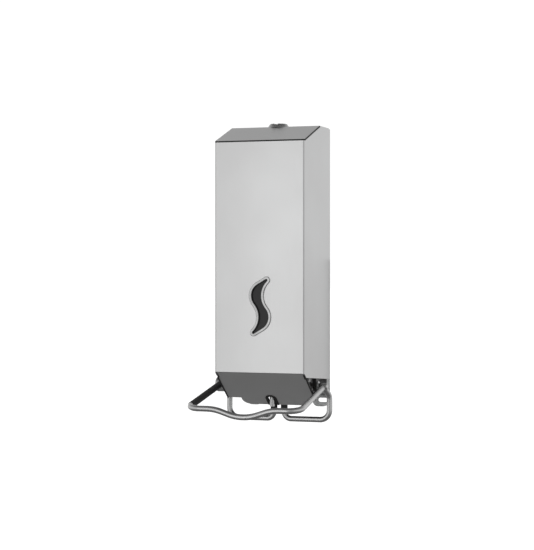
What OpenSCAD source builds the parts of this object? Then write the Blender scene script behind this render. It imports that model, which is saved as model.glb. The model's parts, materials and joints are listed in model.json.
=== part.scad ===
// Wall mounted soap dispenser with an elbow lever.
// A folded sheet housing on a slotted back plate holds a refillable tank. A plunger pump under
// the tank is worked by a lever of bent rod, and the top opens for refilling.
// Frame: X runs along the wall, the front faces -Y, Z is up. The origin lies on the wall
// face of the back plate, on the centre line.

/* [Housing] */
// Width of the housing
body_w = 112.5; // [110:0.5:114]
// Depth from the wall to the front face
body_d = 110; // [110:1:116]
// Height of the top of the front face above the origin
front_top = 141; // [140:1:144]
// Depth of the bottom of the front face below the origin
front_drop = 134; // [133:0.5:136]
// Height of the flat top above the origin
roof_top = 162; // [160:1:163]
// Distance of the ridge of the roof from the wall
ridge_d = 48; // [46:1:56]
// Thickness of the housing, lid and apron sheet
sheet_t = 1; // [0.8:0.1:1.1]

/* [Mounting] */
// Thickness of the back plate
plate_t = 1.2; // [1:0.1:1.2]
// Distance between the two lower wall slots
slot_pitch = 93; // [88:1:94]
// Length of a wall slot
slot_len = 12; // [8:1:12]
// Width of a wall slot
slot_w = 5.2; // [4.2:0.2:6]
// Distance between the two keyholes
keyhole_pitch = 64; // [50:1:76]

/* [Lever] */
// Diameter of the lever rod
rod_d = 7; // [6.6:0.1:7]
// Distance of the front bar from the wall
lever_reach = 169; // [160:1:185]
// Distance between the lever arms at the housing
arm_pitch = 130; // [130:1:134]
// Dip of the middle of the front bar
bar_dip = 11.7; // [8:0.1:14]
// Diameter of the pivot shaft
shaft_d = 8; // [7:0.5:8]

/* [Pump] */
// Diameter of the pump plunger
plunger_d = 14; // [12:0.5:14]
// Length of the pump plunger
plunger_len = 14; // [13:0.5:15]
// Outside diameter of the spout nozzle
nozzle_d = 6; // [5:0.5:6]
// Depth of the nozzle tip below the origin
nozzle_drop = 178; // [172:1:184]

/* [Tank] */
// Width of the tank
tank_w = 92; // [84:1:94]
// Height of the top of the tank above the origin
tank_top = 72; // [50:1:74]
// Wall thickness of the tank
tank_wall = 2; // [1.5:0.1:3]

/* [Window] */
// Sideways place of the middle of the sight window
window_x = 1; // [-8:0.5:8]
// Height of the middle of the sight window relative to the origin
window_z = -55.5; // [-55.5:0.5:20]
// Width of the raised rim round the sight window
rim_w = 3.2; // [2:0.1:3.4]
// Height of the rim above the front face
rim_h = 1.3; // [0.8:0.1:2]

/* [Lid] */
// Distance of the lock from the wall
lock_d = 36; // [34:1:38]
// Diameter of the lock's turning barrel
barrel_d = 12; // [10:0.5:12]

/* [Hidden] */
$fn = 64;

steel = "#c4c4c4";
dark_grey = "#666666";
black = "#1c1c1c";
zinc = "#a8abad";
frosted = "#e8ece6";
white_plastic = "#d8d8d4";

gap = 0.1;                        // clearance between parts that are slid or pressed together
over = 1;                         // how far a cutting body runs past the face it cuts
half_w = body_w / 2;
inner_w = half_w - sheet_t;       // inner face of a side wall
front_y = -body_d;
ridge_y = -ridge_d;
roof_slope = atan2(roof_top - front_top, body_d - ridge_d);

// Housing
bend_r = 2;                       // outside radius of the vertical folds
side_drop = 147.5;                // bottom edge of the side walls at the wall
apron_angle = 37;                 // slope of the apron below the horizontal
apron_run = 7;                    // how far back the side walls follow the apron
rear_gap = 3.5;                   // from the side walls' rear edges to the wall
wall_drop = 2;                    // how far the side walls' tops lie below the sloping roof

// Pivot and pump
pivot_y = -46.8;
pivot_z = -153.5;
pump_y = -61;
pump_z = -131;
shaft_r = shaft_d / 2;
plunger_r = plunger_d / 2;
sleeve_t = 0.65;                  // wall of the rubber sleeve
sleeve_gap = 0.05;                // between the sleeve and the rod
u_half = 6.6;                     // half the distance between the legs of the middle U
u_y = -34;                        // plane of the middle U and the lower runs
crown_z = -127.5;
sleeve_r = rod_d / 2 + sleeve_gap + sleeve_t;

// Shelf and back plate
shelf_z = -98;
plate_half = inner_w - gap;
tab_drop = 182;
plate_bottom = -150;
cheek_x = 48.9;                   // outer face of the bracket's cheeks
bracket_t = 1.2;                  // sheet of the brackets and the shelf
screw_x = 42;                     // the shelf's screws
screw_y = [-20, -56];
rivet_z = [-128, -138];           // the bearings' rivets
rivet_r = 1.6;
rivet_head_r = 3;

// Lid
strip_rear = ridge_y + 1.5;        // rear end of the rubber edging on the lid's sides
flat_wall_top = roof_top - sheet_t - gap;
hinge_y = -4.6;
hinge_z = roof_top - 2.4;
knuckle_r = 2.2;
pin_r = 1.2;
knuckle_len = 20;
lid_half = half_w - 0.3;          // half width of the lid's sheet
flange_half = inner_w - 0.4;      // outer faces of the lid's flanges
rest_top = front_top - 1.3;       // top of the front wall and of the angle the lid comes down on

// ---------------------------------------------------------------- helpers

function unit(v) = v / norm(v);

// Extrudes a (y, z) outline along X, from x0 to x1
module along_x(x0, x1) {
    translate([x0, 0, 0]) rotate([90, 0, 90]) linear_extrude(x1 - x0) children();
}

// Extrudes an (x, z) outline along Y, from y0 to y1
module along_y(y0, y1) {
    translate([0, y1, 0]) rotate([90, 0, 0]) linear_extrude(y1 - y0) children();
}

// A box given by its lowest and highest corners
module span(low, high) {
    translate(low) cube(high - low);
}

// A round bar along Y, from y0 to y1, round the line x, z
module bar_y(x, z, y0, y1, r) {
    translate([x, y1, z]) rotate([90, 0, 0]) cylinder(h = y1 - y0, r = r);
}

// A round bar along X, from x0 to x1, round the line y, z
module bar_x(y, z, x0, x1, r) {
    translate([x0, y, z]) rotate([0, 90, 0]) cylinder(h = x1 - x0, r = r);
}

// A vertical round bar or hole, from z0 to z1
module bar_z(x, y, z0, z1, r) {
    translate([x, y, z0]) cylinder(h = z1 - z0, r = r);
}

// A left and a right copy
module both_sides() {
    children();
    mirror([1, 0, 0]) children();
}

// Section of a round bar, or of a tube where r_in is given
module round_section(r_out, r_in) {
    difference() {
        circle(r_out);
        if (r_in > 0) {
            circle(r_in);
        }
    }
}

// Where a straight stretch of a slanting bar runs into a bend, it goes in a little way and is
// slightly thinner, so the two never share a surface
join_len = 0.2;
join_slip = 0.05;

// A straight stretch of bar or tube, from a to b
module bar_straight(a, b, r_out, r_in) {
    v = b - a;
    translate(a) rotate([0, acos(v.z / norm(v)), atan2(v.y, v.x)])
        linear_extrude(norm(v)) round_section(r_out, r_in);
}

// A bend of radius r at point p, from direction u to direction v
module bar_bend(p, u, v, r, r_out, r_in) {
    turn = acos(u * v);
    start = p - r * tan(turn / 2) * u;
    n = unit(v - (u * v) * u);
    c = start + r * n;
    w = cross(-n, u);
    multmatrix([[-n.x, u.x, w.x, c.x], [-n.y, u.y, w.y, c.y], [-n.z, u.z, w.z, c.z], [0, 0, 0, 1]])
        rotate_extrude(angle = turn) translate([r, 0]) round_section(r_out, r_in);
}

// How far a bend of radius r between directions u and v reaches along each of them
function reach(u, v, r) = r * tan(acos(u * v) / 2);

// A bent bar or tube along points, with a bend radius at each one between the ends. A slanting
// bar has its stretches joined as above, and one that runs along the axes has them face to face.
module bent_bar(points, radii, r_out, r_in = 0, slanting = false) {
    n = len(points);
    dirs = [for (i = [0 : n - 2]) unit(points[i + 1] - points[i])];
    cut = [for (i = [0 : n - 1])
        i == 0 || i == n - 1 ? 0 : reach(dirs[i - 1], dirs[i], radii[i]) - (slanting ? join_len : 0)];
    for (i = [0 : n - 2]) {
        bar_straight(points[i] + cut[i] * dirs[i], points[i + 1] - cut[i + 1] * dirs[i],
            r_out - (slanting ? join_slip : 0), r_in);
    }
    for (i = [1 : n - 2]) {
        bar_bend(points[i], dirs[i - 1], dirs[i], radii[i], r_out, r_in);
    }
}

// A wire of diameter d along points, as a faceted tube. refs gives a sideways direction at
// each point.
module wire(points, refs, d, sides = 6) {
    n = len(points);
    tangents = [for (i = [0 : n - 1]) unit(points[min(i + 1, n - 1)] - points[max(i - 1, 0)])];
    rings = [for (i = [0 : n - 1])
        let (t = tangents[i], a = unit(refs[i] - (refs[i] * t) * t), b = cross(t, a))
        for (k = [0 : sides - 1]) points[i] + d / 2 * (cos(360 * k / sides) * a + sin(360 * k / sides) * b)];
    walls = [for (i = [0 : n - 2]) for (k = [0 : sides - 1])
        let (m = (k + 1) % sides) each [
            [i * sides + k, (i + 1) * sides + k, (i + 1) * sides + m],
            [i * sides + k, (i + 1) * sides + m, i * sides + m]]];
    polyhedron(rings, concat(
        [[for (k = [0 : sides - 1]) k]],
        walls,
        [[for (k = [0 : sides - 1]) n * sides - 1 - k]]));
}

// ---------------------------------------------------------------- housing

// Plan of the housing: a rectangle from the wall to depth d with rounded front corners
module plan(w, d, r) {
    translate([-w / 2, r - d]) square([w, d - r + over]);
    translate([r - w / 2, -d]) square([w - 2 * r, r + over]);
    for (s = [-1, 1]) {
        translate([s * (w / 2 - r), r - d]) circle(r);
    }
}

module housing_shell() {
    apron_fall = apron_run * tan(apron_angle);
    side_profile = concat(
        [[front_y, rest_top], [front_y, -front_drop], [front_y + apron_run, -front_drop - apron_fall],
            [-rear_gap, -side_drop], [-rear_gap, flat_wall_top], [strip_rear, flat_wall_top],
            [strip_rear, roof_top - wall_drop]],
        reversed(roof_line(wall_drop, lid_front)),
        [[lid_front, rest_top]]);
    color(steel) difference() {
        intersection() {
            translate([0, 0, -side_drop - over]) linear_extrude(side_drop + roof_top + 2 * over)
                difference() {
                    plan(body_w, body_d, bend_r);
                    plan(2 * inner_w, body_d - sheet_t, bend_r - sheet_t);
                }
            along_x(-half_w - over, half_w + over) polygon(side_profile);
        }
        along_y(front_y - over, front_y + sheet_t + over)
            translate([window_x, window_z]) polygon(wave(-1.2));
    }
}

module back_plate() {
    plate_top = roof_top - 1;
    tab_in = 33;                  // inner edge of each lower tab
    corner_r = 7;                 // inner and outer corners of the tabs
    outer_r = 9;
    flange_bottom = -167;
    flange_top = 150;
    slot_z = -173.8;
    bead_z = -167.3;
    flange_d = 14;
    key_z = 105;
    key_rise = 10;
    color(zinc) difference() {
        union() {
            along_y(-plate_t, 0) {
                translate([-plate_half, plate_bottom])
                    square([2 * plate_half, plate_top - plate_bottom]);
                both_sides() {
                    translate([tab_in, outer_r - tab_drop])
                        square([plate_half - tab_in, tab_drop - outer_r + plate_bottom + over]);
                    translate([tab_in, corner_r - tab_drop])
                        square([plate_half - tab_in - outer_r, outer_r - corner_r + over]);
                    translate([tab_in + corner_r, -tab_drop])
                        square([plate_half - tab_in - corner_r - outer_r, corner_r + over]);
                    translate([tab_in + corner_r, corner_r - tab_drop]) circle(corner_r);
                    translate([plate_half - outer_r, outer_r - tab_drop]) circle(outer_r);
                }
            }
            both_sides() {
                span([plate_half - plate_t, -flange_d, flange_bottom],
                    [plate_half, -plate_t / 2, flange_top]);
                bar_x(-plate_t, bead_z, tab_in + 3, plate_half - plate_t / 2, 1);
            }
        }
        both_sides() {
            along_y(-plate_t - over, over) {
                for (end = [-1, 1]) {
                    translate([slot_pitch / 2 + end * (slot_len - slot_w) / 2, slot_z]) circle(d = slot_w);
                }
                translate([slot_pitch / 2 - (slot_len - slot_w) / 2, slot_z - slot_w / 2])
                    square([slot_len - slot_w, slot_w]);
            }
            along_y(-plate_t - over, over) {
                translate([keyhole_pitch / 2, key_z]) circle(5.2);
                translate([keyhole_pitch / 2, key_z + key_rise]) circle(2.7);
                translate([keyhole_pitch / 2 - 2.7, key_z]) square([5.4, key_rise]);
            }
        }
    }
}

// The apron's own plane: x across, s down the slope from the bottom of the front face
apron_start = 1.5;
apron_step = 11.6;                // from here on the apron lies below the side walls
apron_end = 56.5;
tongue_end = 70.5;
apron_half = half_w - 0.7;

module on_apron(z0, z1) {
    translate([0, front_y, -front_drop]) rotate([-apron_angle, 0, 0])
        translate([0, 0, z0]) linear_extrude(z1 - z0) children();
}

module apron_outline() {
    tongue_left = -38.5;
    tongue_right = 48;
    tongue_r = 10;
    hidden_half = inner_w - 0.8;
    translate([-hidden_half, apron_start]) square([2 * hidden_half, apron_step - apron_start + over]);
    translate([-apron_half, apron_step]) square([2 * apron_half, apron_end - apron_step]);
    translate([tongue_left, apron_end - over])
        square([tongue_right - tongue_left, tongue_end - tongue_r - apron_end + over]);
    translate([tongue_left + tongue_r, apron_end])
        square([tongue_right - tongue_left - 2 * tongue_r, tongue_end - apron_end]);
    for (x = [tongue_left + tongue_r, tongue_right - tongue_r]) {
        translate([x, tongue_end - tongue_r]) circle(tongue_r);
    }
}

// The notch that the spout nozzle comes through, made larger by d and open at s = end
module notch(d, end) {
    notch_r = 6;
    notch_s = 56.1;
    translate([0, notch_s]) circle(notch_r + d);
    translate([-notch_r - d, notch_s]) square([2 * (notch_r + d), end - notch_s]);
}

module apron_panel() {
    lap_half = 50;
    lap_y = front_y + sheet_t + gap;
    color(dark_grey) {
        on_apron(0, sheet_t) difference() {
            apron_outline();
            notch(0, tongue_end + over);
        }
        span([-lap_half, lap_y, -front_drop - 0.5], [lap_half, lap_y + sheet_t, 13 - front_drop]);
    }
}

lip = 0.7;                        // how far the rubber channels stand off the apron
grip = 0.9;                       // how far they reach over its edge

// Rubber channels over the two side edges of the apron
module apron_edge_trims() {
    trim_start = 3.2;
    hidden_edge = inner_w - 0.8;
    color(black) both_sides() difference() {
        on_apron(-lip, sheet_t + lip) {
            translate([hidden_edge - grip, trim_start])
                square([grip + lip, apron_step - trim_start]);
            translate([apron_half - grip, apron_step])
                square([grip + lip, apron_end + lip - apron_step]);
        }
        on_apron(0, sheet_t) apron_outline();
    }
}

// Rubber channel round the nozzle's notch
module notch_trim() {
    lining = 2.2;
    color(black) difference() {
        on_apron(-lip, sheet_t + lip) difference() {
            notch(grip, tongue_end);
            notch(-lining, tongue_end + over);
        }
        on_apron(-gap, sheet_t + gap) difference() {
            apron_outline();
            notch(0, tongue_end + over);
        }
    }
}

// ---------------------------------------------------------------- frame inside

// Pressed bracket behind the pump: a web on the back plate, two cheeks and two top flanges
module mech_bracket() {
    web_y = -plate_t;
    top = shelf_z - bracket_t;
    web_bottom = -166.1;
    cheek_front = -70;
    cheek_bottom = -147;
    flange_in = 36;
    anchor_y = -58;
    anchor_z = -126;
    color(zinc) difference() {
        union() {
            span([-cheek_x, web_y - bracket_t, web_bottom], [cheek_x, web_y, top]);
            both_sides() {
                span([cheek_x - bracket_t, cheek_front, cheek_bottom], [cheek_x, web_y, top]);
                span([flange_in, -66, top - bracket_t], [cheek_x, -8, top]);
            }
        }
        both_sides() {
            for (z = rivet_z) {
                bar_x(pivot_y, z, cheek_x - bracket_t - over, cheek_x + over, rivet_r + 0.05);
            }
            for (y = screw_y) {
                bar_z(screw_x, y, top - bracket_t - over, top + over, 2.1);
            }
            bar_x(anchor_y, anchor_z, cheek_x - bracket_t - over, cheek_x + over, 1.1);
        }
    }
}

module tank_shelf() {
    half = plate_half - plate_t - gap;
    rear = -plate_t - bracket_t;
    front = front_y + 6;
    bottom = shelf_z - bracket_t;
    color(zinc) difference() {
        union() {
            span([-half, front, bottom], [half, rear, shelf_z]);
            span([-half, front - bracket_t, shelf_z - 9], [half, front, shelf_z]);
        }
        bar_z(0, pump_y, bottom - over, shelf_z + over, 19);
        both_sides() {
            for (y = screw_y) {
                bar_z(screw_x, y, bottom - over, shelf_z + over, 2.1);
                translate([screw_x, y, bottom]) cylinder(h = bracket_t + 0.001, r1 = 3, r2 = 4.2);
            }
        }
    }
}

// Countersunk screws that hold the shelf to the bracket, each with its nut
module shelf_screws() {
    nut_h = 3.4;
    nut_top = shelf_z - 2 * bracket_t;
    color(steel) both_sides() {
        for (y = screw_y) {
            translate([screw_x, y, shelf_z - bracket_t]) cylinder(h = bracket_t, r1 = 2.9, r2 = 4.1);
            bar_z(screw_x, y, nut_top - nut_h - 2.2, shelf_z - bracket_t, 2);
            translate([screw_x, y, nut_top - nut_h]) cylinder(h = nut_h, r = 4, $fn = 6);
        }
    }
}

bumper_y = u_y + sleeve_r + 0.3;
stop_y = bumper_y + 3;

// Bracket on the back plate that holds the lever's stop behind the U
module stop_bracket() {
    half = 12;
    foot_y = -plate_t - bracket_t;
    arm_z = -112;
    color(zinc) {
        span([-half, foot_y - bracket_t, -134], [half, foot_y, arm_z]);
        span([-half, stop_y, arm_z - bracket_t], [half, foot_y - bracket_t / 2, arm_z]);
        span([-half, stop_y, -136], [half, stop_y + bracket_t, arm_z]);
    }
}

module stop_bumper() {
    color(black) bar_y(0, crown_z, bumper_y, stop_y, 5);
}

// ---------------------------------------------------------------- lever

arm_half = arm_pitch / 2;
leg_half = arm_half - 0.5;        // half the distance between the rear legs
shoulder_half = arm_half - 4.5;   // where an arm crosses the pivot shaft
lower_z = -195;
bar_half = arm_half + 3.4;
bar_z0 = -172.8;

hub_x = -arm_half - 4;            // where the left arm meets the hub
hub_z = pivot_z + 2.2;
left_corner = [-bar_half, -lever_reach, bar_z0];

// One rod, bent into a loop from the hub's front round to its rear: left arm, dipped front bar,
// right arm, right leg, lower run, middle U, lower run and left leg. Its ends are welded in the hub.
module lever_frame() {
    knee_x = 35;
    knee_r = 56;
    leg_top = -165;
    points = [
        [hub_x, pivot_y, hub_z], left_corner, [-knee_x, -lever_reach, bar_z0],
        [0, -lever_reach, bar_z0 - bar_dip], [knee_x, -lever_reach, bar_z0],
        [bar_half, -lever_reach, bar_z0], [shoulder_half, pivot_y, pivot_z - 1],
        [leg_half, u_y, leg_top], [leg_half, u_y, lower_z], [u_half, u_y, lower_z],
        [u_half, u_y, crown_z], [-u_half, u_y, crown_z], [-u_half, u_y, lower_z],
        [-leg_half, u_y, lower_z], [-leg_half, u_y, leg_top], [-leg_half - 4, pivot_y - 1, pivot_z + 1]];
    radii = [0, 14, knee_r, knee_r, knee_r, 14, 12, 12, 12, 9, 6.4, 6.4, 9, 12, 12, 0];
    color(steel) bent_bar(points, radii, rod_d / 2, slanting = true);
}

// Rubber tube on the left arm, from the front bend to the hub
module arm_sleeve() {
    hub_end = [hub_x, pivot_y, hub_z];
    along = unit(left_corner - hub_end);
    color(black) bar_straight(hub_end + 10.5 * along, left_corner - 13.5 * along,
        rod_d / 2 + sleeve_gap + 0.5, rod_d / 2 + sleeve_gap);
}

module pusher_sleeve() {
    end_z = -184;
    color(black) bent_bar(
        [[u_half, u_y, end_z], [u_half, u_y, crown_z], [-u_half, u_y, crown_z], [-u_half, u_y, end_z]],
        [0, 6.4, 6.4, 0], sleeve_r, sleeve_r - sleeve_t);
}

module pivot_shaft() {
    head_r = 9.3;
    head_x = 0.5 - arm_half;
    head_len = 12;
    chamfer = 1.5;
    tip_x = arm_half + 1;
    color(steel) {
        bar_x(pivot_y, pivot_z, head_x, tip_x - 1, shaft_r);
        translate([tip_x - 1, pivot_y, pivot_z]) rotate([0, 90, 0])
            cylinder(h = 1, r1 = shaft_r, r2 = shaft_r - 1);
        translate([head_x, pivot_y, pivot_z]) rotate([0, -90, 0]) {
            cylinder(h = head_len - chamfer, r = head_r);
            translate([0, 0, head_len - chamfer]) cylinder(h = chamfer, r1 = head_r, r2 = head_r - chamfer);
        }
    }
}

bearing_t = 4.6;
rivet_sink = 1.3;
running_fit = 0.05;

// Washers between the bearings and the lever's arms
module thrust_washers() {
    inner = cheek_x + bearing_t + gap;
    color(zinc) both_sides() difference() {
        bar_x(pivot_y, pivot_z, inner, inner + 1, 6.2);
        bar_x(pivot_y, pivot_z, inner - over, inner + 1 + over, shaft_r + running_fit);
    }
}

module shaft_bearings() {
    bearing_r = 6.7;
    top = -122;
    color(black) both_sides() difference() {
        union() {
            bar_x(pivot_y, pivot_z, cheek_x, cheek_x + bearing_t, bearing_r);
            span([cheek_x, pivot_y - bearing_r, pivot_z], [cheek_x + bearing_t, pivot_y + bearing_r, top]);
        }
        bar_x(pivot_y, pivot_z, cheek_x - over, cheek_x + bearing_t + over, shaft_r + running_fit);
        for (z = rivet_z) {
            bar_x(pivot_y, z, cheek_x - over, cheek_x + bearing_t + over, rivet_r + 0.05);
            bar_x(pivot_y, z, cheek_x + bearing_t - rivet_sink, cheek_x + bearing_t + over, rivet_head_r + gap);
        }
    }
}

module bearing_rivets() {
    head_t = 1.2;
    head_out = cheek_x + bearing_t - rivet_sink;
    cheek_in = cheek_x - bracket_t;
    color(zinc) both_sides() {
        for (z = rivet_z) {
            bar_x(pivot_y, z, cheek_in - head_t, head_out + head_t, rivet_r);
            bar_x(pivot_y, z, head_out, head_out + head_t, rivet_head_r);
            bar_x(pivot_y, z, cheek_in - head_t, cheek_in, rivet_head_r - 0.2);
        }
    }
}

// Torsion spring on the pivot shaft: one leg hooks into the bracket, the other presses on the U
module return_spring() {
    wire_d = 1.6;
    mean_r = 6.2;
    turns = 6;
    per_turn = 12;
    x_in = 16;
    x_out = 30;
    n = turns * per_turn;
    push_y = u_y - sleeve_r - wire_d / 2 - gap;
    coil = [for (i = [0 : n]) let (a = 180 - 360 * i / per_turn)
        [x_in + (x_out - x_in) * i / n, pivot_y + mean_r * cos(a), pivot_z + mean_r * sin(a)]];
    coil_refs = [for (i = [0 : n]) let (a = 180 - 360 * i / per_turn) [0, cos(a), sin(a)]];
    inner_leg = [[3, push_y, -142.5], [13, push_y, -142.5], [15.6, push_y - 2, -143.2],
        [x_in, pivot_y - mean_r, -148.5]];
    outer_leg = [[x_out, pivot_y - mean_r - 0.5, -158], [x_out + 0.6, -57, -160], [x_out + 2.4, -60.5, -157],
        [x_out + 3.4, -59.5, -146], [x_out + 4, -58, -130], [x_out + 6, -58, -126], [cheek_x + 1.6, -58, -126]];
    color(steel) wire(
        concat(inner_leg, coil, outer_leg),
        concat([for (p = inner_leg) [0, -1, 0.3]], coil_refs, [for (p = outer_leg) [0, -1, 0.3]]), wire_d);
}

// ---------------------------------------------------------------- tank

tank_front = -100;
tank_rear = -24;
fill_y = (tank_front + tank_rear) / 2;
fill_r = 26;
collar_r = 28.5;
collar_h = 8;
neck_r = 11;
neck_bottom = -110;

module tank_plan(inset) {
    corner_r = 8 - inset;
    for (x = [-1, 1], y = [tank_front + 8, tank_rear - 8]) {
        translate([x * (tank_w / 2 - 8), y]) circle(corner_r);
    }
    translate([8 - tank_w / 2, tank_front + inset])
        square([tank_w - 16, tank_rear - tank_front - 2 * inset]);
    translate([inset - tank_w / 2, tank_front + 8])
        square([tank_w - 2 * inset, tank_rear - tank_front - 16]);
}

module tank() {
    neck_in = 8;
    color(frosted) difference() {
        union() {
            translate([0, 0, shelf_z]) linear_extrude(tank_top - shelf_z) tank_plan(0);
            bar_z(0, fill_y, tank_top - tank_wall, tank_top + collar_h, collar_r);
            bar_z(0, pump_y, neck_bottom, shelf_z + tank_wall, neck_r);
        }
        translate([0, 0, shelf_z + tank_wall])
            linear_extrude(tank_top - shelf_z - 2 * tank_wall) tank_plan(tank_wall);
        bar_z(0, fill_y, tank_top - tank_wall - over, tank_top + collar_h + over, fill_r);
        bar_z(0, pump_y, neck_bottom - over, shelf_z + tank_wall + over, neck_in);
    }
}

// Push-on lid of the tank with a grip knob
module tank_cap() {
    rim = tank_top + collar_h;
    skirt_r = collar_r + 0.3;
    disc_z = rim + 0.2;
    knob_top = rim + 12;
    color(white_plastic) {
        difference() {
            bar_z(0, fill_y, rim - 7, disc_z + 2.5, skirt_r + 2.2);
            bar_z(0, fill_y, rim - 7 - over, disc_z, skirt_r);
        }
        bar_z(0, fill_y, disc_z + 2, knob_top - 1, 8);
        translate([0, fill_y, knob_top - 1]) cylinder(h = 1, r1 = 8, r2 = 7);
    }
}

// A flat ring round the pump's vertical axis
module ring_z(z0, z1, r_in, r_out) {
    difference() {
        bar_z(0, pump_y, z0, z1, r_out);
        bar_z(0, pump_y, z0 - over, z1 + over, r_in);
    }
}

module tank_gasket() {
    color(black) ring_z(neck_bottom - 1.5, neck_bottom, 8, neck_r);
}

flange_top = neck_bottom - 1.5;
flange_r = 12.5;
stub_r = 8;

// Union nut that draws the pump's flange up against the tank's neck
module tank_nut() {
    nut_r = 17;
    nut_top = neck_bottom + 9.5;
    nut_bottom = flange_top - 5.5;
    ribs = 16;
    color(white_plastic) difference() {
        union() {
            bar_z(0, pump_y, nut_bottom, nut_top, nut_r - 0.8);
            for (i = [0 : ribs - 1]) {
                translate([0, pump_y, nut_bottom + 1]) rotate([0, 0, 360 * i / ribs])
                    translate([nut_r - 2.4, -1, 0]) cube([2.4, 2, nut_top - nut_bottom - 2]);
            }
        }
        bar_z(0, pump_y, neck_bottom, nut_top + over, neck_r + gap);
        bar_z(0, pump_y, flange_top - 3 - gap, neck_bottom + 0.01, flange_r + 0.2);
        bar_z(0, pump_y, nut_bottom - over, neck_bottom, stub_r + 0.4);
    }
}

// ---------------------------------------------------------------- pump

bore_r = plunger_r + 0.05;
mouth_y = -46.5;
cap_y = -76;                      // inner face of the end plug
barrel_front = -80;
plunger_back = u_y - sleeve_r - 0.3;
plunger_front = plunger_back - plunger_len;
valve_house_z = -150;

module pump_body() {
    color(white_plastic) difference() {
        union() {
            bar_z(0, pump_y, flange_top - 3, flange_top, flange_r);
            bar_z(0, pump_y, pump_z, flange_top - 2, stub_r);
            bar_y(0, pump_z, barrel_front, mouth_y, 10);
            bar_z(0, pump_y, valve_house_z, pump_z, 6);
        }
        bar_z(0, pump_y, -122.5, flange_top + over, 5);
        bar_y(0, pump_z, barrel_front - over, mouth_y + over, bore_r);
        bar_z(0, pump_y, pump_z, -122, 1.6);
        bar_z(0, pump_y, -141, pump_z, 1.6);
        bar_z(0, pump_y, -145.2, -140.4, 4);
        bar_z(0, pump_y, valve_house_z - over, -145, nozzle_d / 2 + 0.05);
    }
}

module cylinder_cap() {
    color(white_plastic) {
        bar_y(0, pump_z, barrel_front, cap_y, plunger_r);
        bar_y(0, pump_z, barrel_front - 2, barrel_front, 10);
    }
}

seal_y = plunger_front + 2;

module pump_plunger() {
    groove_w = 1.8;
    color(black) difference() {
        bar_y(0, pump_z, plunger_front, plunger_back, plunger_r);
        difference() {
            bar_y(0, pump_z, seal_y, seal_y + groove_w, plunger_r + over);
            bar_y(0, pump_z, seal_y - over, seal_y + groove_w + over, plunger_r - 1);
        }
    }
}

module plunger_seal() {
    color(black) translate([0, seal_y + 0.9, pump_z]) rotate([90, 0, 0])
        rotate_extrude() translate([plunger_r - 0.5, 0]) circle(0.5, $fn = 24);
}

module pump_spring() {
    wire_d = 0.7;
    mean_r = 5;
    turns = 4;
    per_turn = 12;
    n = turns * per_turn;
    y0 = cap_y + 0.5;
    y1 = plunger_front - 0.5;
    color(steel) wire(
        [for (i = [0 : n]) [mean_r * cos(360 * i / per_turn), y0 + (y1 - y0) * i / n,
            pump_z + mean_r * sin(360 * i / per_turn)]],
        [for (i = [0 : n]) [cos(360 * i / per_turn), 0, sin(360 * i / per_turn)]], wire_d);
}

// Rubber duckbill valves: a collar and a split beak that points along the flow
module duckbill(z, r) {
    difference() {
        union() {
            bar_z(0, pump_y, z - 1.2, z, r);
            translate([0, pump_y, z - 3.6]) cylinder(h = 2.4, r1 = 0.7, r2 = r - 1);
        }
        translate([0, pump_y, z - 2.8]) cylinder(h = 2.8 + over, r1 = 0.3, r2 = r - 1.4);
        span([-r, pump_y - 0.05, z - 4.6], [r, pump_y + 0.05, z - 1.8]);
    }
}

module inlet_valve() {
    color(black) duckbill(-117, 4.9);
}

module outlet_valve() {
    color(black) duckbill(-140.5, 3.9);
}

module spout_nozzle() {
    color(steel) difference() {
        bar_z(0, pump_y, -nozzle_drop, -145.4, nozzle_d / 2);
        bar_z(0, pump_y, -nozzle_drop - over, -145.4 + over, nozzle_d / 2 - 1);
    }
}

// ---------------------------------------------------------------- lid

lid_front = front_y + sheet_t + gap;
panel_rear = -7.4;

// The roof's side view from y = front to the ridge, drop below the top face
function roof_line(drop, front) =
    let (r = 4, c = [ridge_y + r * tan(roof_slope / 2), roof_top - r])
    concat([[front, front_top + (front - front_y) * tan(roof_slope) - drop / cos(roof_slope)]],
        [for (i = [0 : 6]) let (a = 90 + roof_slope * (1 - i / 6)) c + (r - drop) * [cos(a), sin(a)]]);

function reversed(list) = [for (i = [len(list) - 1 : -1 : 0]) list[i]];

// A band that follows the roof, between the depths drop and depth
module roof_band(drop, depth, front) {
    polygon(concat(roof_line(drop, front), [[panel_rear, roof_top - drop], [panel_rear, roof_top - depth]],
        reversed(roof_line(depth, front))));
}

module top_lid() {
    flange_depth = 3.9;
    knuckle_x = 10.3;
    knuckle_end = knuckle_x + knuckle_len - 0.6;
    color(steel) difference() {
        union() {
            along_x(-lid_half, lid_half) roof_band(0, sheet_t, lid_front);
            both_sides() {
                along_x(flange_half - sheet_t, flange_half) roof_band(0, flange_depth, front_y + 10);
                span([knuckle_x, panel_rear, roof_top - sheet_t], [knuckle_end, hinge_y, roof_top]);
                bar_x(hinge_y, hinge_z, knuckle_x, knuckle_end, knuckle_r);
            }
        }
        bar_x(hinge_y, hinge_z, -half_w, half_w, pin_r + 0.05);
        bar_z(0, -lock_d, roof_top - 2 * sheet_t, roof_top + over, barrel_d / 2 + 3.1);
    }
}

module hinge_strip() {
    leaf_t = 0.8;
    leaf_y = -plate_t;
    knuckle_x = [-50, -10, 30];
    color(steel) difference() {
        union() {
            span([-50, leaf_y - leaf_t, hinge_z - 18.6], [50, leaf_y, hinge_z]);
            for (x = knuckle_x) {
                bar_x(hinge_y, hinge_z, x, x + knuckle_len, knuckle_r);
                span([x, hinge_y, hinge_z - knuckle_r], [x + knuckle_len, leaf_y, hinge_z - knuckle_r + leaf_t]);
            }
        }
        bar_x(hinge_y, hinge_z, -half_w, half_w, pin_r + 0.01);
        for (x = [-40, 0, 40]) {
            bar_y(x, hinge_z - 12, leaf_y - leaf_t - over, leaf_y + over, 1.3);
        }
    }
}

module lid_hinge_pin() {
    color(zinc) bar_x(hinge_y, hinge_z, -51, 51, pin_r);
}

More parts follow.
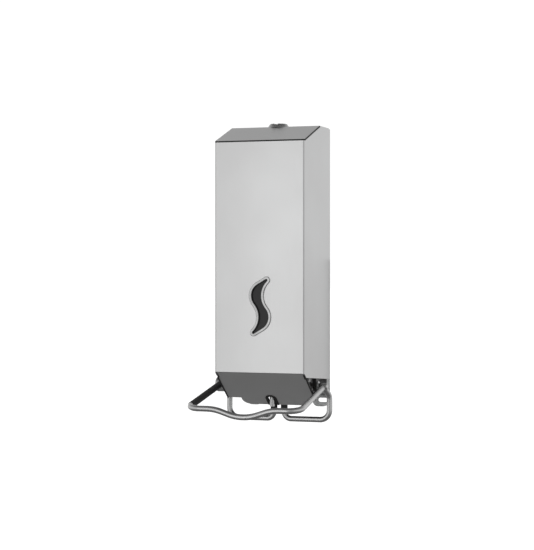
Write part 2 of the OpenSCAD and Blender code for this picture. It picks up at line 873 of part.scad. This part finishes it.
// Angle welded inside the front wall that the lid's front edge comes down on
module lid_rest() {
    half = 51;
    wall_y = front_y + sheet_t;
    color(zinc) {
        span([-half, wall_y, rest_top - 13], [half, wall_y + 1, rest_top]);
        span([-half, wall_y, rest_top - 1], [half, wall_y + 9, rest_top]);
    }
}

// Black rubber edging of the lid: a bead along its front edge and an angle down each side that
// closes the gap on the sloping side walls
module lid_seal() {
    bead_lip = 0.4;
    strip_bottom = wall_drop - gap;
    color(black) intersection() {
        union() {
            along_x(-half_w, half_w) polygon([
                [front_y, rest_top + 0.05], [lid_front, rest_top + 0.05],
                [lid_front, front_top + bead_lip], [front_y, front_top + bead_lip]]);
            both_sides() intersection() {
                union() {
                    along_x(lid_half, half_w) roof_band(0, strip_bottom, lid_front);
                    along_x(inner_w + gap, half_w) roof_band(sheet_t, strip_bottom, lid_front);
                }
                span([0, front_y, 0], [half_w + over, strip_rear - gap, roof_top + over]);
            }
        }
        linear_extrude(roof_top + over) plan(body_w, body_d, bend_r);
    }
}

// ---------------------------------------------------------------- lock

barrel_r = barrel_d / 2;
cam_top = roof_top - 19.4;
cam_t = 2;

module lock_housing() {
    body_r = barrel_r + 3;
    cone_h = 4.3;
    slot_half = 2.4;
    slot_depth = 1.6;
    color(steel) difference() {
        union() {
            translate([0, -lock_d, roof_top]) cylinder(h = cone_h, r1 = barrel_r + 7.4, r2 = barrel_r + 4.4);
            bar_z(0, -lock_d, roof_top - 18, roof_top + 0.5, body_r);
        }
        bar_z(0, -lock_d, roof_top - 18 - over, roof_top + cone_h + over, barrel_r + 0.05);
        span([-slot_half, -lock_d - barrel_r - 8, roof_top + cone_h - slot_depth],
            [slot_half, -lock_d, roof_top + cone_h + over]);
    }
}

module lock_nut() {
    nut_top = roof_top - sheet_t - gap;
    color(zinc) difference() {
        translate([0, -lock_d, nut_top - 4.4]) cylinder(h = 4.4, r = 13, $fn = 6);
        bar_z(0, -lock_d, nut_top - 4.4 - over, nut_top + over, barrel_r + 3.05);
    }
}

module lock_barrel() {
    top = roof_top + 4.2;
    shank = 6;
    color(zinc) {
        difference() {
            bar_z(0, -lock_d, cam_top + 0.4, top, barrel_r);
            span([-1, -lock_d - 3.6, top - 3], [1, -lock_d + 3.6, top + over]);
        }
        span([-shank / 2, -lock_d - shank / 2, cam_top - cam_t - 0.2],
            [shank / 2, -lock_d + shank / 2, cam_top + 0.5]);
    }
}

// Flat cam on the barrel's square end. It points sideways when the lid is unlocked.
module lock_cam() {
    tail = 6;
    tip = 20;
    hole = 6.1;
    color(zinc) difference() {
        union() {
            bar_z(0, -lock_d, cam_top - cam_t, cam_top, tail);
            span([0, -lock_d - tail, cam_top - cam_t], [tip - tail, -lock_d + tail, cam_top]);
            bar_z(tip - tail, -lock_d, cam_top - cam_t, cam_top, tail);
        }
        span([-hole / 2, -lock_d - hole / 2, cam_top - cam_t - over],
            [hole / 2, -lock_d + hole / 2, cam_top + over]);
    }
}

module cam_screw() {
    head_top = cam_top - cam_t - 0.2;
    color(steel) difference() {
        translate([0, -lock_d, head_top - 2]) cylinder(h = 2, r1 = 3.4, r2 = 4.6);
        span([-4, -lock_d - 0.5, head_top - 2 - over], [4, -lock_d + 0.5, head_top - 1.2]);
    }
}

// Cross strip that the cam turns under
module lock_keeper() {
    t = 1.2;
    bottom = cam_top + 0.8;
    rear = -50;
    color(zinc) {
        span([gap - inner_w, rear - 10, bottom], [inner_w - gap, rear, bottom + t]);
        span([gap - inner_w, rear - 10, bottom], [inner_w - gap, rear - 10 + t, bottom + 7.6]);
    }
}

// ---------------------------------------------------------------- sight window

// Outline of the wave-shaped window, moved outwards by d. Each half is a small round tip, a
// full convex curve and a hollow curve that runs into the other tip.
function wave_half(d) =
    let (
        tip_r = 4.4, full_r = 18.4, hollow_r = 21,
        full_c = [4.6, 12.7], hollow_angle = 220, tip_angle = 133.5,
        hollow_c = full_c + (full_r + hollow_r) * [cos(hollow_angle), sin(hollow_angle)],
        tip_c = -hollow_c + (hollow_r + tip_r) * [cos(tip_angle), sin(tip_angle)],
        apart = tip_c - full_c,
        meet = atan2(apart.y, apart.x) + acos((full_r - tip_r) / norm(apart))
    )
    concat(
        [for (i = [0 : 14]) let (a = tip_angle - 180 + (meet - tip_angle + 180) * i / 14)
            tip_c + (tip_r + d) * [cos(a), sin(a)]],
        [for (i = [0 : 12]) let (a = meet + (hollow_angle - meet) * i / 12)
            full_c + (full_r + d) * [cos(a), sin(a)]],
        [for (i = [1 : 10]) let (a = hollow_angle - 180 + (tip_angle - hollow_angle) * i / 11)
            hollow_c + (hollow_r - d) * [cos(a), sin(a)]]);

function wave(d) = concat(wave_half(d), [for (p = wave_half(d)) -p]);

stud_x = 15.5;
stud_z = 38;

module at_window() {
    translate([window_x, 0, window_z]) children();
}

module at_studs() {
    at_window() for (x = [-stud_x, stud_x], z = [-stud_z, stud_z]) {
        translate([x, 0, z]) children();
    }
}

module window_rim() {
    neck_y = front_y + 2;
    color(steel) at_window() difference() {
        union() {
            along_y(front_y - rim_h, front_y) polygon(wave(0));
            along_y(front_y - 0.1, neck_y) polygon(wave(-1.3));
        }
        along_y(front_y - rim_h - over, neck_y + over) polygon(wave(-rim_w));
    }
}

module window_pane() {
    color(black) at_window() along_y(front_y + 2 + gap, front_y + 4 + gap) polygon(wave(3));
}

module window_retainer() {
    back = front_y + 5.6;
    color(zinc) difference() {
        at_window() along_y(front_y + 4 + gap, back) square([38, 84], center = true);
        at_window() along_y(front_y, 0) polygon(wave(-1.3));
        at_studs() bar_y(0, 0, front_y, 0, 1.7);
    }
}

module window_studs() {
    color(steel) at_studs() bar_y(0, 0, front_y + sheet_t, front_y + 8.5, 1.5);
}

module stud_nuts() {
    color(zinc) at_studs() difference() {
        translate([0, front_y + 7.6, 0]) rotate([90, 0, 0]) cylinder(h = 2, r = 3.1, $fn = 6);
        bar_y(0, 0, front_y, 0, 1.55);
    }
}

housing_shell();
back_plate();
apron_panel();
apron_edge_trims();
notch_trim();
mech_bracket();
tank_shelf();
shelf_screws();
lever_frame();
pusher_sleeve();
arm_sleeve();
pivot_shaft();
thrust_washers();
shaft_bearings();
bearing_rivets();
stop_bracket();
stop_bumper();
return_spring();
tank();
tank_cap();
tank_gasket();
tank_nut();
pump_body();
cylinder_cap();
pump_plunger();
plunger_seal();
pump_spring();
inlet_valve();
outlet_valve();
spout_nozzle();
top_lid();
lid_hinge_pin();
hinge_strip();
lid_rest();
lid_seal();
lock_housing();
lock_nut();
lock_barrel();
lock_cam();
cam_screw();
lock_keeper();
window_rim();
window_pane();
window_retainer();
window_studs();
stud_nuts();
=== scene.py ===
"""Looks of the wall mounted soap dispenser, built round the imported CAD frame.

Everything is in metres: +X to the right, +Y into the wall, +Z up.
"""
import json
import math

import bmesh
import bpy
from mathutils import Euler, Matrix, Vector


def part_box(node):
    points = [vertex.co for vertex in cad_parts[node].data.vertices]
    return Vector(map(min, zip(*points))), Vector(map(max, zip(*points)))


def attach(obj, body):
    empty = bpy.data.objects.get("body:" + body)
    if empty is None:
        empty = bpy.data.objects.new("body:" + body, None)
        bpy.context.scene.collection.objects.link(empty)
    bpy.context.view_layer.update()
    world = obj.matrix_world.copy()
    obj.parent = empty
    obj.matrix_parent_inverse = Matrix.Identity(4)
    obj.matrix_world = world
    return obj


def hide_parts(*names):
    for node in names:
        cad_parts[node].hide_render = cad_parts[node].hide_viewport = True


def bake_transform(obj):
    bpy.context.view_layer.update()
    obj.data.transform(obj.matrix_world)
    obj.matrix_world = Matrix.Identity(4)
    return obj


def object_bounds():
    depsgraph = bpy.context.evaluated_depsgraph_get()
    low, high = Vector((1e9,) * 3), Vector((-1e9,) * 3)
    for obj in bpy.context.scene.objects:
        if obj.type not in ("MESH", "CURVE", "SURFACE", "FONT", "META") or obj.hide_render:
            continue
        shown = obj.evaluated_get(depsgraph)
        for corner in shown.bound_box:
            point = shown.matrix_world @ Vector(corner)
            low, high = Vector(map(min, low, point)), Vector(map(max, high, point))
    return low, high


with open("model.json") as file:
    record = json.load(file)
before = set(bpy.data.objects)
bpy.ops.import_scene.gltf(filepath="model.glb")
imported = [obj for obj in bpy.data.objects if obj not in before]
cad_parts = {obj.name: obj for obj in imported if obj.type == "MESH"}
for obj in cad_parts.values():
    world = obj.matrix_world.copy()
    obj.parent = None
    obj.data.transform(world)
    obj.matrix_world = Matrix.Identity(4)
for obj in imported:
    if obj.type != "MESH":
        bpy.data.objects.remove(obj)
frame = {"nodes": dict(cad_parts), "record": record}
nodes = frame["nodes"]
cad_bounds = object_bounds()

MM = 0.001


# ---------------------------------------------------------------- driving values

# The camera stands to the front right and looks down very slightly. Its lens is in millimetres.
CAMERA_AZIMUTH = math.radians(18.54)
CAMERA_PITCH = math.radians(0.41)
CAMERA_PLACE = (0.6026, -1.8778, -0.0049)
CAMERA_LENS = 103.27
CAMERA_SENSOR = 36

FLOOR_BELOW = 0.45
FLOOR_RADIUS = 40
FLOOR_SIDES = 96

# Light of the room by height, from straight down (0) through the horizon (0.5) to straight up (1).
# A colour ramp is born with stops at 0 and 1, so those two come first.
BAND = ((0, 0.16), (1, 0.12),
        (0.2, 0.18), (0.4, 0.6), (0.5, 0.84), (0.62, 0.84), (0.78, 0.53), (0.9, 0.2))
# The room is dimmer round DIM_SIDE: from where its cosine reaches DIM_FROM, down to DIM_LEVEL
DIM_SIDE = (0.3, -0.954, 0)
DIM_FROM = 0.8
DIM_LEVEL = 0.55
# Strength of the white that the camera sees behind the part
WHITE_LEVEL = 1.05

KEY_PLACE = (-0.31, -1.2, -0.22)
KEY_AIM = (0, -0.1, -0.1)
KEY_SIZE = (0.24, 1.1)
KEY_POWER = 0.7

FLAG_WIDTH = 9 * MM
FLAG_BEHIND = 30 * MM
FLAG_TOP = 0
FLAG_BOTTOM = -260 * MM

# Facets that meet within FLAT_ANGLE degrees are merged, then edges over SHARP_ANGLE are rounded
FLAT_ANGLE = 1
SHARP_ANGLE = 35
WELD_DISTANCE = 0.001 * MM

# Parts that get rounded edges: node, body, slot, radius in mm, segments
ROUNDED = (
    # The rim's chrome carries painted shade in its colour, set darker than the bar's.
    ("window_rim", "housing", "dark_chrome", 1.15, 5),
    ("window_pane", "housing", "smoked_plastic", 0.4, 2),
    ("tank", "housing", "frosted_plastic", 0.8, 2),
    ("tank_cap", "cap", "white_plastic", 0.5, 2),
    ("tank_nut", "housing", "white_plastic", 0.3, 2),
    ("pump_body", "housing", "white_plastic", 0.3, 2),
    ("shaft_bearings", "housing", "black_plastic", 0.4, 2),
    ("stop_bumper", "housing", "black_rubber", 0.6, 2),
    ("lock_housing", "lid", "polished_steel", 0.35, 2),
    ("lock_barrel", "lock", "polished_steel", 0.25, 2),
)


# ---------------------------------------------------------------- camera, stage and light

def add_camera():
    data = bpy.data.cameras.new("camera")
    data.lens = CAMERA_LENS
    data.sensor_width = CAMERA_SENSOR
    data.sensor_fit = "AUTO"
    camera = bpy.data.objects.new("camera", data)
    camera.location = CAMERA_PLACE
    camera.rotation_euler = Euler((math.pi / 2 - CAMERA_PITCH, 0, CAMERA_AZIMUTH))
    bpy.context.scene.collection.objects.link(camera)
    bpy.context.scene.camera = camera


def add_key():
    """A soft panel that lights the part but stays out of the picture."""
    data = bpy.data.lights.new("key", "AREA")
    data.shape = "RECTANGLE"
    data.size, data.size_y = KEY_SIZE
    data.energy = KEY_POWER
    light = bpy.data.objects.new("key", data)
    light.location = KEY_PLACE
    toward = Vector(KEY_AIM) - Vector(KEY_PLACE)
    light.rotation_euler = toward.to_track_quat("-Z", "Y").to_euler()
    light.visible_camera = False
    bpy.context.scene.collection.objects.link(light)


def stage_piece(name, bm, **constants):
    """A plain piece of the studio. It casts no shadow and gives the part no diffuse light."""
    mesh = bpy.data.meshes.new(name)
    bm.to_mesh(mesh)
    bm.free()
    material = bpy.data.materials.new(name)
    material.use_nodes = True
    shader = material.node_tree.nodes["Principled BSDF"]
    for socket, value in constants.items():
        shader.inputs[socket.replace("_", " ")].default_value = value
    mesh.materials.append(material)
    piece = bpy.data.objects.new(name, mesh)
    piece.visible_diffuse = False
    piece.visible_shadow = False
    bpy.context.scene.collection.objects.link(piece)
    return piece


def add_flag():
    """A black card behind the right-hand side. The rear of the side wall mirrors it."""
    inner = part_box("housing_shell")[1][0]
    outer = inner + FLAG_WIDTH
    bm = bmesh.new()
    bm.faces.new([bm.verts.new((x, FLAG_BEHIND, z)) for x, z in (
        (inner, FLAG_BOTTOM), (outer, FLAG_BOTTOM), (outer, FLAG_TOP), (inner, FLAG_TOP))])
    flag = stage_piece("flag", bm, Base_Color=(0.01, 0.01, 0.01, 1), Roughness=1)
    flag.visible_camera = False


def add_floor():
    """A pale floor well below the part. It is white in the picture and doesn't tint the metal."""
    bm = bmesh.new()
    bmesh.ops.create_circle(bm, cap_ends=True, segments=FLOOR_SIDES, radius=FLOOR_RADIUS)
    floor = stage_piece("floor", bm, Base_Color=(0.9, 0.9, 0.9, 1), Roughness=0.9,
                        Emission_Color=(1, 1, 1, 1), Emission_Strength=0.8)
    floor.location = (0, 0, cad_bounds[0][2] - FLOOR_BELOW)
    floor.visible_glossy = False


def add_world():
    """A white room to the camera. The metal mirrors a bright band round the horizon, a darker
    ceiling and a dark ground, with the band a little dimmer to the front right."""
    world = bpy.data.worlds.new("studio")
    bpy.context.scene.world = world
    world.use_nodes = True
    tree = world.node_tree
    tree.nodes.clear()
    link = tree.links.new
    place = tree.nodes.new("ShaderNodeTexCoord")
    split = tree.nodes.new("ShaderNodeSeparateXYZ")
    link(place.outputs["Generated"], split.inputs["Vector"])

    height = tree.nodes.new("ShaderNodeMapRange")
    height.inputs["From Min"].default_value = -1
    height.inputs["From Max"].default_value = 1
    link(split.outputs["Z"], height.inputs["Value"])
    band = tree.nodes.new("ShaderNodeValToRGB")
    stops = band.color_ramp.elements
    for index, (at, value) in enumerate(BAND):
        stop = stops[index] if index < 2 else stops.new(at)
        stop.position = at
        stop.color = (value, value, value, 1)
    link(height.outputs["Result"], band.inputs["Fac"])

    aside = tree.nodes.new("ShaderNodeVectorMath")
    aside.operation = "DOT_PRODUCT"
    aside.inputs[1].default_value = DIM_SIDE
    link(place.outputs["Generated"], aside.inputs[0])
    fade = tree.nodes.new("ShaderNodeMapRange")
    fade.inputs["From Min"].default_value = DIM_FROM
    fade.inputs["From Max"].default_value = 1
    fade.inputs["To Min"].default_value = 1
    fade.inputs["To Max"].default_value = DIM_LEVEL
    link(aside.outputs["Value"], fade.inputs["Value"])

    lit = tree.nodes.new("ShaderNodeBackground")
    seen = tree.nodes.new("ShaderNodeBackground")
    seen.inputs["Color"].default_value = (1, 1, 1, 1)
    seen.inputs["Strength"].default_value = WHITE_LEVEL
    path = tree.nodes.new("ShaderNodeLightPath")
    mix = tree.nodes.new("ShaderNodeMixShader")
    out = tree.nodes.new("ShaderNodeOutputWorld")
    link(band.outputs["Color"], lit.inputs["Color"])
    link(fade.outputs["Result"], lit.inputs["Strength"])
    link(path.outputs["Is Camera Ray"], mix.inputs[0])
    link(lit.outputs["Background"], mix.inputs[1])
    link(seen.outputs["Background"], mix.inputs[2])
    link(mix.outputs["Shader"], out.inputs["Surface"])


# ---------------------------------------------------------------- materials

class Shades:
    """Adds nodes to one material's tree, starting from its Principled shader."""

    # Most of a noise texture's values lie between these two
    NOISE_LOW, NOISE_HIGH = 0.3, 0.7
    # The colour sockets of a Mix node share their names with its other sockets
    MIX_A, MIX_B, MIX_RESULT = 6, 7, 2

    def __init__(self, name, **constants):
        self.material = bpy.data.materials.new(name)
        self.material.use_nodes = True
        self.tree = self.material.node_tree
        self.shader = self.tree.nodes["Principled BSDF"]
        for socket, value in constants.items():
            self.shader.inputs[socket.replace("_", " ")].default_value = value
        self.place = self.tree.nodes.new("ShaderNodeTexCoord").outputs["Object"]

    def link(self, source, target):
        self.tree.links.new(source, target)

    def stretched(self, scale):
        """Object coordinates, stretched by scale."""
        mapping = self.tree.nodes.new("ShaderNodeMapping")
        mapping.inputs["Scale"].default_value = scale
        self.link(self.place, mapping.inputs["Vector"])
        return mapping.outputs["Vector"]

    def noise(self, place, scale, detail):
        """Soft noise with scale features to the metre."""
        node = self.tree.nodes.new("ShaderNodeTexNoise")
        node.inputs["Scale"].default_value = scale
        node.inputs["Detail"].default_value = detail
        self.link(place, node.inputs["Vector"])
        return node.outputs["Fac"]

    def cells(self, place, scale):
        """Distance to the middle of the nearest cell, with scale cells to the metre."""
        node = self.tree.nodes.new("ShaderNodeTexVoronoi")
        node.inputs["Scale"].default_value = scale
        self.link(place, node.inputs["Vector"])
        return node.outputs["Distance"]

    def spread(self, value, low=0, high=1):
        """Maps a noise value to the range low..high."""
        node = self.tree.nodes.new("ShaderNodeMapRange")
        for socket, number in (("From Min", self.NOISE_LOW), ("From Max", self.NOISE_HIGH),
                               ("To Min", low), ("To Max", high)):
            node.inputs[socket].default_value = number
        self.link(value, node.inputs["Value"])
        return node.outputs["Result"]

    def colour(self, value, dark, light):
        """The base colour runs from dark to light as value goes from 0 to 1."""
        node = self.tree.nodes.new("ShaderNodeMix")
        node.data_type = "RGBA"
        node.inputs[self.MIX_A].default_value = (*dark, 1)
        node.inputs[self.MIX_B].default_value = (*light, 1)
        self.link(value, node.inputs["Factor"])
        self.link(node.outputs[self.MIX_RESULT], self.shader.inputs["Base Color"])

    def roughness(self, value, low, high):
        self.link(self.spread(value, low, high), self.shader.inputs["Roughness"])

    def bump(self, value, height, strength):
        node = self.tree.nodes.new("ShaderNodeBump")
        node.inputs["Strength"].default_value = strength
        node.inputs["Distance"].default_value = height
        self.link(value, node.inputs["Height"])
        self.link(node.outputs["Normal"], self.shader.inputs["Normal"])


def grey(value, tint=0.0):
    return (value, value + tint, value + tint)


def satin_steel():
    """Sheet with a fine vertical grain and soft, wide differences in tone."""
    s = Shades("satin_steel", Metallic=1.0)
    grain = s.noise(s.stretched((1, 1, 0.012)), scale=2600, detail=2)
    cloud = s.noise(s.place, scale=9, detail=2)
    s.colour(s.spread(cloud), dark=grey(0.57), light=grey(0.62, tint=0.004))
    s.roughness(grain, low=0.28, high=0.32)
    s.bump(grain, height=0.004 * MM, strength=0.3)
    return s.material


def dark_steel():
    """Grey sheet with a fine speckle that mirrors little."""
    s = Shades("dark_steel", Metallic=0.55)
    speckle = s.noise(s.place, scale=1500, detail=3)
    cloud = s.noise(s.place, scale=14, detail=2)
    s.colour(s.spread(cloud), dark=grey(0.5), light=grey(0.54))
    s.roughness(speckle, low=0.5, high=0.62)
    s.bump(speckle, height=0.02 * MM, strength=0.5)
    return s.material


def polished_steel():
    """Bar and turned parts: bright, with faint drawing lines."""
    s = Shades("polished_steel", Metallic=1.0)
    fine = s.noise(s.place, scale=700, detail=4)
    cloud = s.noise(s.place, scale=40, detail=2)
    s.colour(s.spread(cloud), dark=grey(0.51), light=grey(0.57))
    s.roughness(fine, low=0.24, high=0.3)
    s.bump(fine, height=0.002 * MM, strength=0.3)
    return s.material


def dark_chrome():
    """The window's rim: smooth chrome, with its colour set darker than the bar's as painted shade,
    in place of the glare that the key light gives it.
    """
    s = Shades("dark_chrome", Metallic=1.0)
    fine = s.noise(s.place, scale=500, detail=3)
    cloud = s.noise(s.place, scale=60, detail=2)
    # Painted shade: this colour is set darker than the bar's steel so that the rim shows less of
    # the key light.
    s.colour(s.spread(cloud), dark=grey(0.32), light=grey(0.4))
    s.roughness(fine, low=0.16, high=0.22)
    return s.material


def zinc_steel():
    """Galvanised sheet with its large flat crystals."""
    s = Shades("zinc_steel", Metallic=0.9)
    crystals = s.cells(s.place, scale=220)
    s.colour(crystals, dark=grey(0.42, tint=0.006), light=grey(0.56, tint=0.008))
    s.roughness(s.noise(s.place, scale=160, detail=3), low=0.34, high=0.5)
    s.bump(s.noise(s.place, scale=900, detail=3), height=0.01 * MM, strength=0.4)
    return s.material


def fasteners():
    """Bright zinc with the marks of turning."""
    s = Shades("fasteners", Metallic=1.0)
    turned = s.noise(s.place, scale=900, detail=4)
    s.colour(s.spread(turned), dark=grey(0.5), light=grey(0.62))
    s.roughness(turned, low=0.22, high=0.36)
    return s.material


def spring_steel():
    """Drawn wire."""
    s = Shades("spring_steel", Metallic=1.0)
    drawn = s.noise(s.stretched((1, 0.2, 0.2)), scale=800, detail=3)
    s.colour(s.spread(drawn), dark=grey(0.34), light=grey(0.5))
    s.roughness(drawn, low=0.24, high=0.38)
    return s.material


def black_rubber():
    """Matt, with a fine grain."""
    s = Shades("black_rubber", Metallic=0.0)
    grain = s.noise(s.place, scale=1800, detail=4)
    s.colour(s.spread(grain), dark=grey(0.012), light=grey(0.028))
    s.roughness(grain, low=0.6, high=0.8)
    s.bump(grain, height=0.03 * MM, strength=0.6)
    return s.material


def black_plastic():
    """Moulded, with the fine pattern of an eroded mould."""
    s = Shades("black_plastic", Metallic=0.0)
    grain = s.cells(s.place, scale=1600)
    s.colour(grain, dark=grey(0.016), light=grey(0.03))
    s.roughness(s.noise(s.place, scale=90, detail=3), low=0.35, high=0.5)
    s.bump(grain, height=0.02 * MM, strength=0.5)
    return s.material


def frosted_plastic():
    """Blow-moulded natural polyethylene: milky, with a faint flow in it."""
    s = Shades("frosted_plastic", Metallic=0.0, Transmission_Weight=0.25, IOR=1.5)
    flow = s.noise(s.stretched((1, 1, 0.3)), scale=60, detail=3)
    s.colour(s.spread(flow), dark=(0.76, 0.79, 0.76), light=(0.86, 0.88, 0.86))
    s.roughness(flow, low=0.38, high=0.5)
    s.bump(s.noise(s.place, scale=700, detail=3), height=0.03 * MM, strength=0.4)
    return s.material


def white_plastic():
    """Moulded, with a soft shine."""
    s = Shades("white_plastic", Metallic=0.0)
    fine = s.noise(s.place, scale=1200, detail=3)
    cloud = s.noise(s.place, scale=30, detail=3)
    s.colour(s.spread(cloud), dark=(0.7, 0.7, 0.68), light=(0.8, 0.8, 0.78))
    s.roughness(fine, low=0.28, high=0.4)
    s.bump(fine, height=0.01 * MM, strength=0.4)
    return s.material


def smoked_plastic():
    """The dark pane of the window."""
    s = Shades("smoked_plastic", Metallic=0.0, Specular_IOR_Level=0.25)
    cloud = s.noise(s.place, scale=80, detail=2)
    s.colour(s.spread(cloud), dark=grey(0.018), light=grey(0.036))
    s.roughness(cloud, low=0.16, high=0.26)
    return s.material


FINISHES = {make.__name__: make() for make in (
    satin_steel, dark_steel, polished_steel, dark_chrome, zinc_steel, fasteners, spring_steel,
    black_rubber, black_plastic, frosted_plastic, white_plastic, smoked_plastic)}


def paint_cad():
    """Gives each CAD node the material of its slot."""
    for part in frame["record"]["subparts"]:
        piece = nodes[part["node"]]
        piece.data.materials.clear()
        piece.data.materials.append(FINISHES[part["material_slot"]])


# ---------------------------------------------------------------- pieces

def add_piece(name, mesh, body, slot, replaces):
    """Puts a mesh in the scene in place of CAD nodes. It rides on a body when one is given."""
    obj = bpy.data.objects.new(name, mesh)
    bpy.context.scene.collection.objects.link(obj)
    mesh.materials.append(FINISHES[slot])
    if body:
        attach(obj, body)
    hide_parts(*replaces)
    return obj


def loft(name, rings):
    """A smooth skin over rings of points, all with the same number of them, with flat caps."""
    bm = bmesh.new()
    rows = [[bm.verts.new(point) for point in ring] for ring in rings]
    for here, there in zip(rows, rows[1:]):
        for i in range(len(here)):
            j = (i + 1) % len(here)
            bm.faces.new((here[i], here[j], there[j], there[i]))
    bm.faces.new(rows[0])
    bm.faces.new(rows[-1])
    bmesh.ops.recalc_face_normals(bm, faces=bm.faces)
    mesh = bpy.data.meshes.new(name)
    bm.to_mesh(mesh)
    bm.free()
    mesh.polygons.foreach_set("use_smooth", [True] * len(mesh.polygons))
    return mesh


def tube(name, path, radius, sides):
    """A round wire along a path, with its sections kept from twisting."""
    path = [Vector(p) for p in path]
    rings = []
    side = None
    for i, point in enumerate(path):
        along = (path[min(i + 1, len(path) - 1)] - path[max(i - 1, 0)]).normalized()
        if side is None:
            side = along.orthogonal().normalized()
        side = (side - side.dot(along) * along).normalized()
        other = along.cross(side)
        rings.append([point + radius * (math.cos(a) * side + math.sin(a) * other)
                      for a in (2 * math.pi * k / sides for k in range(sides))])
    return loft(name, rings)


def smooth_path(points, steps=8):
    """A Catmull-Rom curve through points."""
    points = [Vector(p) for p in points]
    ends = [2 * points[0] - points[1]] + points + [2 * points[-1] - points[-2]]
    path = []
    for a, b, c, d in zip(ends, ends[1:], ends[2:], ends[3:]):
        for k in range(steps):
            t = k / steps
            path.append(0.5 * (2 * b + (c - a) * t + (2 * a - 5 * b + 4 * c - d) * t * t
                               + (3 * b - a - 3 * c + d) * t ** 3))
    return path + [points[-1]]


def rounded(source, name, radius, segments):
    """A copy of a CAD node with its edges rounded off."""
    mesh = nodes[source].data.copy()
    mesh.name = name
    bm = bmesh.new()
    bm.from_mesh(mesh)
    bmesh.ops.remove_doubles(bm, verts=bm.verts, dist=WELD_DISTANCE)
    bmesh.ops.dissolve_limit(bm, angle_limit=math.radians(FLAT_ANGLE),
                             verts=bm.verts, edges=bm.edges)
    sharp = [edge for edge in bm.edges if len(edge.link_faces) == 2
             and edge.calc_face_angle(0) > math.radians(SHARP_ANGLE)]
    bmesh.ops.bevel(bm, geom=sharp, offset=radius, segments=segments, profile=0.5,
                    affect="EDGES", clamp_overlap=True)
    bmesh.ops.triangulate(bm, faces=bm.faces)
    bm.to_mesh(mesh)
    bm.free()
    return mesh


def add_return_spring():
    """The torsion spring on the shaft. Its short leg pushes on the sleeve, and its long leg hooks
    into the bracket."""
    shaft_low, shaft_high = (Vector(c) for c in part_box("pivot_shaft"))
    axis_y = (shaft_low.y + shaft_high.y) / 2
    axis_z = (shaft_low.z + shaft_high.z) / 2
    wire_r = 0.8 * MM
    coil_r = 6.2 * MM
    coil_from, coil_to, turns = 16 * MM, 30 * MM, 6
    steps = 28 * turns
    coil = [(coil_from + (coil_to - coil_from) * i / steps,
             axis_y - coil_r * math.cos(2 * math.pi * turns * i / steps),
             axis_z + coil_r * math.sin(2 * math.pi * turns * i / steps))
            for i in range(steps + 1)]

    sleeve_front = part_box("pusher_sleeve")[0][1]
    push_y = sleeve_front - wire_r - 0.1 * MM
    push_z = axis_z + 11 * MM
    push_from, push_to = 3 * MM, 12 * MM
    short_leg = smooth_path([
        (push_from, push_y, push_z),
        (push_to, push_y, push_z),
        (push_to + 3.2 * MM, push_y - 1.6 * MM, push_z - 0.5 * MM),
        (coil_from - 0.1 * MM, axis_y - coil_r + 0.6 * MM, axis_z + 2.5 * MM)])

    leg_y = axis_y - 11.2 * MM
    hook_z = axis_z + 27.5 * MM
    hook_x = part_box("return_spring")[1][0] - wire_r
    long_leg = smooth_path([
        (coil_to + 0.2 * MM, axis_y - coil_r - 0.2 * MM, axis_z - 2 * MM),
        (coil_to + 1.2 * MM, leg_y + 0.7 * MM, axis_z - 6 * MM),
        (coil_to + 2.6 * MM, leg_y - 1.8 * MM, axis_z - 2 * MM),
        (coil_to + 3.6 * MM, leg_y - 1.2 * MM, axis_z + 8 * MM),
        (coil_to + 4.2 * MM, leg_y, hook_z - 4 * MM),
        (coil_to + 7 * MM, leg_y, hook_z),
        (hook_x, leg_y, hook_z)])

    mesh = tube("return_spring_wire", short_leg + coil[1:-1] + long_leg, wire_r, sides=12)
    spring = add_piece("return_spring_wire", mesh, None, "spring_steel", ["return_spring"])
    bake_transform(spring)


def add_pump_spring():
    """The spring behind the plunger, with its end turns wound flat."""
    low, high = (Vector(c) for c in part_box("pump_spring"))
    wire_r = 0.35 * MM
    coil_r = (high.x - low.x) / 2 - wire_r
    mid_x, mid_z = (low.x + high.x) / 2, (low.z + high.z) / 2
    length = high.y - low.y - 2 * wire_r
    turns = 4.5
    flat_share = 0.13
    steps = 120
    coil = []
    for i in range(steps + 1):
        share = i / steps
        rise = min(max((share - flat_share) / (1 - 2 * flat_share), 0), 1)
        angle = 2 * math.pi * turns * share
        coil.append((mid_x + coil_r * math.cos(angle),
                     low.y + wire_r + length * rise,
                     mid_z + coil_r * math.sin(angle)))
    mesh = tube("pump_spring_wire", coil, wire_r, sides=10)
    spring = add_piece("pump_spring_wire", mesh, None, "spring_steel", ["pump_spring"])
    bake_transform(spring)


def add_rounded():
    """Moulded, turned and rubber parts with their edges rounded off."""
    for source, body, slot, radius, segments in ROUNDED:
        name = source + "_soft"
        mesh = rounded(source, name, radius * MM, segments)
        add_piece(name, mesh, body, slot, [source])


# ---------------------------------------------------------------- the scene

bpy.context.scene.view_settings.view_transform = "Standard"
add_camera()
add_world()
add_floor()
add_key()
add_flag()
paint_cad()
add_return_spring()
add_pump_spring()
add_rounded()
